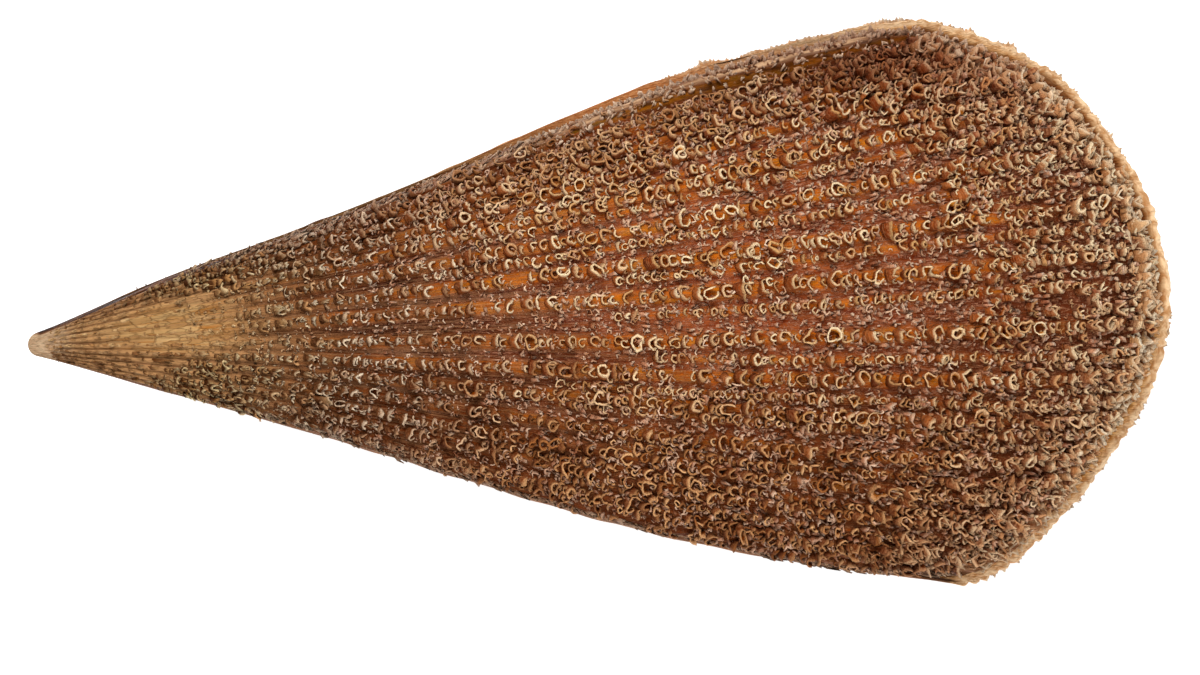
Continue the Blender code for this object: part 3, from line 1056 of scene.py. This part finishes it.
scale_finish = scale_material("scale_horn")
LARGE_SCALE = scale_template(9, 2)
SMALL_SCALE = scale_template(6, 2)
TINY_SCALE = scale_template(5, 1)
TUBE_SIZE = (0.22, 0.44, 0.64, 0.76, 0.80, 0.74, 0.60)        # the radius in mm, beak to margin
TUBE_PITCH = ((1.9, 1.9, 1.8, 1.75, 1.5), (3.2, 3.2, 2.9, 2.8, 2.7))        # in radii
TUBES = Habit(height=((1.6, 1.0, 0.7, 1.0, 1.3), (3.6, 2.4, 1.9, 2.3, 2.9)),
              lean=((75, 58, 6, 0, 8), (88, 87, 44, 38, 56)),
              lip_turn=((0.30, 0.20, 0.45, 0.40, 0.30), (0.55, 0.62, 0.98, 0.95, 0.92)),
              facing=(0.0, (0.3, 1.3, 0.9, 1.0, 1.4)), crumple=0.22, closed=0.28, broken=0.25)

chance = np.random.default_rng(11)
for rank, template, label, keep in ((0, LARGE_SCALE, "large", 0.93),
                                    (1, SMALL_SCALE, "middling", 0.86),
                                    (2, TINY_SCALE, "small", 0.7)):
    spots = scatter(UPPER, (rank,), chance, TUBE_SIZE, (0.19, 0.985), TUBE_PITCH, keep)
    grow_scales("upper_scales_" + label, template, spots, chance, TUBES, 3.0)


# ---------------------------------------------------------------------- upper valve worn tiles
# Near the beak, the oldest part, the scales are worn down to flat tiles that lie one behind
# another along each row, with thin dark cracks between them.

TILE_SIZE = (0.13, 0.40, 0.44, 0.46, 0.46)
TILE_PITCH = ((3.0, 2.6), (7.0, 6.0))
TILES = Habit(height=((5.0, 2.6, 2.4, 2.0, 2.0), (11.0, 7.5, 5.0, 3.0, 3.0)),
              lean=((84, 80, 70, 70, 70), (90, 89, 82, 70, 70)),
              lip_turn=((0.30, 0.26, 0.30, 0.4, 0.4), (0.55, 0.5, 0.5, 0.5, 0.5)),
              facing=(0.0, (0.35, 0.5)), crumple=0.18, broken=0.25, sunk=0.42)


def off_the_gold(spots, chance):
    """Thins the tiles out over the golden patch, where they are worn level with the skin."""
    gold = np.exp(-((spots[:, 1] - 0.14) / 0.065) ** 2
                  - ((spots[:, 0] - GOLD_ACROSS) / 0.17) ** 2)
    spots[:, 2] *= 1 - 0.3 * gold
    return spots[chance.random(len(spots)) > 0.85 * gold]


chance = np.random.default_rng(12)
spots = scatter(UPPER, (0, 1), chance, TILE_SIZE, (0.012, 0.36), TILE_PITCH, 0.9)
spots = off_the_gold(spots, chance)
grow_scales("upper_worn_tiles", scale_template(5, 2), spots, chance, TILES, 4.5)


# ------------------------------------------------------------------- upper valve broken flakes
# Between the rows lie the low stumps and splinters of broken scales, turned every way, and in
# the furrows finer, paler shreds of them that lean towards the margin.

def strewn(chance, count):
    """Random places over the upper valve, closer together towards the margin."""
    along = chance.uniform(0.14, 0.985, 4 * count)
    dense = (0.15 + 0.85 * along ** 1.3) * (1 - 0.5 * ease(0.76, 0.92, along))
    along = along[chance.random(4 * count) < dense][:count]
    across = chance.uniform(0.02, 0.985, len(along))
    wide = spline((0.2, 0.26, 0.38, 0.44, 0.48), along) * chance.uniform(0.5, 1.35, len(along))
    return clear_of_bands(np.stack((across, along, wide), -1), chance)


FLAKE = scale_template(3, 1)
FLAKES = Habit(height=((0.8, 0.8, 0.8, 0.9, 1.0), (2.2, 2.0, 1.9, 2.2, 2.8)),
               lean=((60, 30, 0, 0, 10), (85, 70, 60, 60, 70)),
               lip_turn=((0.12, 0.12, 0.12, 0.12, 0.15), (0.5, 0.6, 0.7, 0.7, 0.6)),
               facing=(0.0, 3.1), crumple=0.25, closed=0.05, broken=0.3, splinter=0.75)
SHREDS = Habit(height=(1.8, 5.5), lean=(58, 88), lip_turn=(0.12, 0.45), facing=(0.0, 0.9),
               crumple=0.3, sunk=0.15, wear=1.4, splinter=1.0, lavender=0.1)

chance = np.random.default_rng(13)
grow_scales("upper_flakes", FLAKE, strewn(chance, 7300), chance, FLAKES, 1.5)
spots = strewn(chance, 9000)
spots[:, 2] *= 0.62
low_down = ribbing(UPPER.rows, spots[:, 0], spots[:, 1]) < chance.uniform(0.1, 0.8, len(spots))
grow_scales("upper_shreds", scale_template(2, 1), spots[low_down], chance, SHREDS, 1.6)


# ------------------------------------------------------------------- upper valve margin scales
# Over the last centimetres the scales leave their rows and stand so close that they hide the
# skin, thin, flared and crumpled against one another.

MARGIN_SCALES = 1100
MARGIN_HABIT = Habit(height=(1.4, 3.2), lean=(20, 66), lip_turn=(0.20, 0.68), facing=(0.0, 1.1),
                     crumple=0.30, closed=0.10, wear=1.4, flare=(0.0, 0.5))

chance = np.random.default_rng(14)
along = 0.988 - 0.17 * chance.random(MARGIN_SCALES) ** 1.3
across = chance.uniform(0.05, 0.985, MARGIN_SCALES)
wide = chance.uniform(0.34, 0.84, MARGIN_SCALES)
spots = clear_of_bands(np.stack((across, along, wide), -1), chance)
grow_scales("upper_margin_scales", SMALL_SCALE, spots, chance, MARGIN_HABIT, 2.2)


# ----------------------------------------------------------------------- upper valve frills
# The newest scales at the margin are still joined side by side, as thin ruffled frills that
# overhang the gap.  Along the belly edge the frill is low, greyish and cut into sharp teeth.

FRILL_SPACING = 0.17           # mm
HINGE_CORNER = 0.012


def edge_path(across_end, along_end, belly_from, valve):
    """Evenly spaced places along a valve's edge, from the hinge corner round to the belly:
    across, along, the point, its outward direction and run in plan, and the distance in mm."""
    dense = np.linspace(0, 1, 3000)
    across = np.concatenate((HINGE_CORNER + (across_end - HINGE_CORNER) * dense,
                             np.full(3000, across_end)))
    along = np.concatenate((np.full(3000, along_end),
                            along_end + (belly_from - along_end) * dense))
    walked = distances(fan_plan(across, along))
    steps = np.linspace(0, walked[-1], int(walked[-1] / (FRILL_SPACING * MM)))
    across = np.interp(steps, walked, across)
    along = np.interp(steps, walked, along)
    run = unit(np.gradient(fan_plan(across, along), axis=0))
    smooth = np.ones(9) / 9
    run = unit(np.stack([np.convolve(np.pad(run[:, axis], 4, "edge"), smooth, "valid")
                         for axis in (0, 1)], -1))
    out = np.stack((run[:, 1], -run[:, 0], np.zeros(len(run))), -1)
    run = np.concatenate((run, np.zeros((len(run), 1))), 1)
    return across, along, valve_point(across, along, valve), out, run, steps / MM


def frill(name, valve, ends_at, chance, shape):
    """A thin ruffled strip that stands along a valve's edge, cut into teeth.  Where a measure
    of its shape is a pair, the first is for the margin and the second for the belly edge."""
    across, along, base, out, run, walked = edge_path(*ends_at, valve)
    margin_along = ends_at[1]
    count = len(walked)
    corners, faces = scale_template(count - 1, 4)
    place = np.rint((corners[:, 0] + 1) / 2 * (count - 1)).astype(int)
    up, layer = corners[:, 1], corners[:, 2]
    on_belly = 1 - ease(margin_along - 0.23, margin_along - 0.12, along)

    def wander(wave, amount):
        """A random swing with about that many mm between its turns."""
        knots = chance.uniform(-1, 1, int(walked[-1] / wave) + 2)
        return amount * spline(knots, walked / walked[-1])

    def margin_or_belly(pair):
        return pair[0] * (1 - on_belly) + pair[1] * on_belly

    phase = 2 * np.pi * walked / shape["tooth"] + wander(1.6, 2.2)
    tooth_number = np.floor(phase / (2 * np.pi)).astype(int)
    within = phase / (2 * np.pi) - tooth_number
    size = chance.uniform(0.1, 1.0, tooth_number.max() - tooth_number.min() + 1) ** 1.3
    size = size[tooth_number - tooth_number.min()]
    tooth = size * (1 - np.abs(2 * within - 1))
    depth = margin_or_belly(shape["depth"])
    reach = margin_or_belly(shape["reach"]) * (1 + wander(3.0, 0.28) + wander(1.2, 0.15))
    rise = margin_or_belly(shape["rise"]) * (1 + wander(4.0, 0.4))
    ruffle = (np.cos(2 * np.pi * walked / shape["pitch"] + wander(6.0, 4.0))
              * (1 + wander(3.0, 0.5)) + wander(0.9, 0.35)) * margin_or_belly(shape["ruffle"])
    shear = wander(1.5, 0.5)
    ends = ease(0, 3, walked) * (1 - ease(walked[-1] - 12, walked[-1], walked))

    t = up * (1 - depth[place] * (1 - tooth[place]))
    bend = t ** 1.3
    outward = (-shape["root"] + (reach * ends)[place] * t) * MM
    level = (-0.25 + (rise * ends)[place] * t ** 0.8 + (ruffle * ends)[place] * bend
             + (layer - 0.5) * (0.17 - 0.08 * t)) * valve.side * MM
    along_edge = shear[place] * bend * MM
    points = base[place] + out[place] * outward[:, None] + run[place] * along_edge[:, None]
    points[:, 2] += level
    if valve.side < 0:
        points += lip_waves(across[place], along[place], np.ones(len(place)))
    points[:, 2] = np.maximum(points[:, 2], 0.0)
    grey = shape["grey"] * np.maximum(on_belly, ease(0.6, 0.85, across))
    masks = {
        "across": across[place],
        "along": along[place],
        "rise": 1 - shape["tinge"] * (1 - t),
        "rim": (1 - up) * 1.2,
        "hollow": 0.35 * (1 - layer),
        "luck": (0.5 + wander(0.8, 0.5))[place],
        "pale": (0.3 + wander(1.1, 0.3))[place],
        "lavender": grey[place],
        "fresh": 1.0 - grey[place],
        "splinter": np.zeros(len(place)),
    }
    close_piece(joined_mesh(name, faces, points[None]), masks, scale_finish, valve)


chance = np.random.default_rng(17)
frill("upper_frill", UPPER, (0.997, 0.997, 0.42), chance,
      {"pitch": 3.8, "reach": (1.9, 1.0), "rise": (0.7, 0.6), "ruffle": (0.6, 0.12),
       "tooth": 1.2, "depth": (0.66, 0.8), "root": 0.4, "grey": 0.8, "tinge": 0.5})
frill("upper_frill_older", UPPER, (0.988, 0.990, 0.86), chance,
      {"pitch": 3.1, "reach": (2.0, 0.7), "rise": (1.3, 0.6), "ruffle": (0.8, 0.12),
       "tooth": 1.2, "depth": (0.6, 0.75), "root": 0.4, "grey": 0.6, "tinge": 0.5})


# ------------------------------------------------------- upper valve fans, teeth and slivers
# Single scales that grew in bands along the edges: fans behind the frills, sharp grey teeth on
# the belly edge, and thin slivers that lie flat in the horny bands of both sides.

FANS = Habit(height=(1.4, 2.6), lean=(30, 78), lip_turn=(0.25, 0.6), facing=(0.0, 0.9),
             crumple=0.42, sunk=0.2, flare=(0.0, 0.5), lowest=0.8, fresh=0.6)
TEETH = Habit(height=(1.6, 4.0), lean=(-40, 60), lip_turn=(0.12, 0.45), facing=(0.5, 2.6),
              crumple=0.2, wear=1.8, lowest=1.0, lavender=0.75)
SLIVERS = Habit(height=(2.0, 7.0), lean=(78, 90), lip_turn=(0.15, 0.5), facing=(0.0, 0.5),
                crumple=0.3, sunk=0.45, wear=1.2, lowest=1.0, lavender=0.45)

# In each band: mm inside the edge, the spacing, mm round from the beak, and the radius.
FAN_BANDS = (((2.9, 3.6), 0.65, (138, 234), (0.38, 0.72)),
             ((2.8, 3.6), 0.75, (200, 236), (0.35, 0.60)),
             ((4.3, 5.4), 1.0, (138, 234), (0.5, 1.0)))
TEETH_BANDS = (((1.6, 2.2), 0.30, (78, 152), (0.2, 0.42)),
               ((2.0, 2.9), 0.8, (84, 150), (0.16, 0.34)),
               ((3.0, 4.4), 0.7, (74, 138), (0.2, 0.45)))
SLIVER_BANDS = (((0.3, 0.9), 0.60, (24, 76), (0.12, 0.24)),
                ((0.9, 1.6), 0.38, (20, 80), (0.14, 0.28)),
                ((1.4, 2.8), 0.28, (30, 84), (0.18, 0.40)),
                ((0.4, 1.3), 0.40, (132, 167), (0.20, 0.38), True),
                ((1.3, 2.5), 0.35, (30, 160), (0.18, 0.36), True))

# Places all over the upper valve, among which those of each band are found.
SURVEY = np.meshgrid(np.linspace(0.003, 0.997, 460), np.linspace(0.06, 0.997, 440))
SURVEY = [values.ravel() for values in SURVEY]
SURVEY_INSIDE, SURVEY_WALKED, SURVEY_HINGE = edge_places(*SURVEY, UPPER)[:3]


def beside_edge(chance, inside, spacing, walked_range, wide, at_hinge=False):
    """Places in one band round the belly edge and margin, or else along the hinge edge."""
    walked = np.arange(*walked_range, spacing)
    walked = walked + chance.uniform(-0.4, 0.4, len(walked)) * spacing
    depth, round_edge = SURVEY_INSIDE, SURVEY_WALKED
    if at_hinge:
        depth, round_edge = SURVEY_HINGE, SURVEY[1] * SHELL_LENGTH / MM
    near = np.abs(depth - (inside[0] + inside[1]) / 2) < (inside[1] - inside[0]) / 2
    across, along = (values[near] for values in SURVEY)
    round_edge = round_edge[near]
    picked = []
    for place in walked:
        close = np.flatnonzero(np.abs(round_edge - place) < 0.4)
        if len(close):
            picked.append(chance.choice(close))
    radius = chance.uniform(*wide, len(picked))
    return np.stack((across[picked], along[picked], radius), -1)


chance = np.random.default_rng(18)
for name, template, bands, habit, highest in (
        ("upper_margin_fans", LARGE_SCALE, FAN_BANDS, FANS, 2.4),
        ("upper_belly_teeth", FLAKE, TEETH_BANDS, TEETH, 1.3),
        ("upper_edge_slivers", FLAKE, SLIVER_BANDS, SLIVERS, 3.2)):
    spots = np.concatenate([beside_edge(chance, *band) for band in bands])
    grow_scales(name, template, spots, chance, habit, highest)


# -------------------------------------------------------------------------------- lower valve
# The other half, a near mirror image of the upper one.  Its margin stands a little beyond the
# upper valve's, as a golden lip that waves with its own rows of scales.

LOWER = Valve("lower_valve", -1, 0.0, Rows(5))
LOWER_PITCH = ((2.3, 2.3, 2.4, 2.2, 1.8), (3.6, 3.6, 3.6, 3.4, 3.0))

valve_skin("lower_skin", LOWER, 0.001, (340, 255), skin_finish, lip_waves)
chance = np.random.default_rng(23)
for ranks, template, label, keep in (((0,), scale_template(5, 2), "large", 0.9),
                                     ((1, 2), FLAKE, "small", 0.5)):
    spots = scatter(LOWER, ranks, chance, TUBE_SIZE, (0.13, 0.985), LOWER_PITCH, keep)
    grow_scales("lower_scales_" + label, template, spots, chance, TUBES, 2.2, LOWER)
spots = scatter(LOWER, (0, 1), chance, TILE_SIZE, (0.02, 0.30), TILE_PITCH, 0.9)
grow_scales("lower_worn_tiles", FLAKE, spots, chance, TILES, 4.5, LOWER)
frill("lower_frill", LOWER, (0.997, 0.997, 0.74), chance,
      {"pitch": 3.0, "reach": (1.5, 1.1), "rise": (0.1, 0.1), "ruffle": (0.3, 0.1),
       "tooth": 0.55, "depth": (0.38, 0.35), "root": 0.7, "grey": 0.0, "tinge": 0.3})


# ----------------------------------------------------------------------------------- ligament
# The brown horny strip that ties the two halves together along the hinge edge.  Its CAD shape
# stays and gets its own material.

def ligament_material():
    material, paint, surface = new_material("ligament_horn", 0.4)
    grain = paint.grain(900.0)
    set_inputs(surface, {"Base Color": paint.blend(grain, "5a341c", "96663e"),
                         "Normal": paint.relief(grain, 0.4, 0.0002)})
    return material


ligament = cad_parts["ligament"]
ligament.data.materials.clear()
ligament.data.materials.append(ligament_material())
